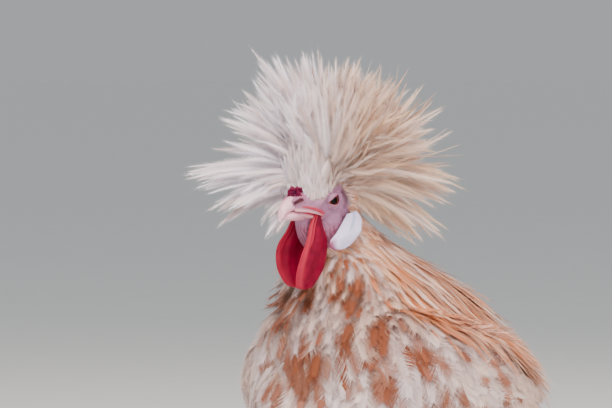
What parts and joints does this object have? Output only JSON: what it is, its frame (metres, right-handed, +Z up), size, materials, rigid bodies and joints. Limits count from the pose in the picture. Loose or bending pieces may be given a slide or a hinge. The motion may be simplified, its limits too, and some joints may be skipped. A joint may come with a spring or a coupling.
{
  "type": "crested cock",
  "caption": "Life-size standing cock with an open feather crest, hanging wattles, long neck feathers, folded wings and a low tail.",
  "frame": {"origin": "on the floor, under the middle of the bird's bounding box", "axes": "+Z up, -Y the way the bird looks, +X its left side"},
  "size_m": [0.205, 0.5322, 0.4907],
  "materials": {
    "body_feathers": "soft barred white and rust feathers",
    "hackle_feathers": "long narrow orange and white feathers",
    "crest_feathers": "long cream and buff feathers",
    "wing_feathers": "laced buff feathers",
    "tail_feathers": "broad cream feathers",
    "face_skin": "fine wrinkled bare skin",
    "red_flesh": "pebbled crimson flesh",
    "white_lobe": "smooth chalk-white skin",
    "beak_horn": "polished pale horn",
    "eye_gloss": "wet glossy eye",
    "leg_scales": "slate-coloured scales",
    "claw_horn": "dull horn"
  },
  "bodies": {
    "root": {"beak_lower": "beak_horn", "beak_upper": "beak_horn", "claw_left_1": "claw_horn", "claw_left_2": "claw_horn", "claw_left_3": "claw_horn", "claw_left_4": "claw_horn", "claw_right_1": "claw_horn", "claw_right_2": "claw_horn", "claw_right_3": "claw_horn", "claw_right_4": "claw_horn", "comb_left": "red_flesh", "comb_right": "red_flesh", "crest": "crest_feathers", "earlobe_left": "white_lobe", "earlobe_right": "white_lobe", "eye_left": "eye_gloss", "eye_right": "eye_gloss", "head": "face_skin", "leg_left": "leg_scales", "leg_right": "leg_scales", "neck": "hackle_feathers", "spur_left": "claw_horn", "spur_right": "claw_horn", "tail": "tail_feathers", "thigh_left": "body_feathers", "thigh_right": "body_feathers", "torso": "body_feathers", "wattle_left": "red_flesh", "wattle_right": "red_flesh", "wing_left": "wing_feathers", "wing_right": "wing_feathers"}
  },
  "joints": []
}
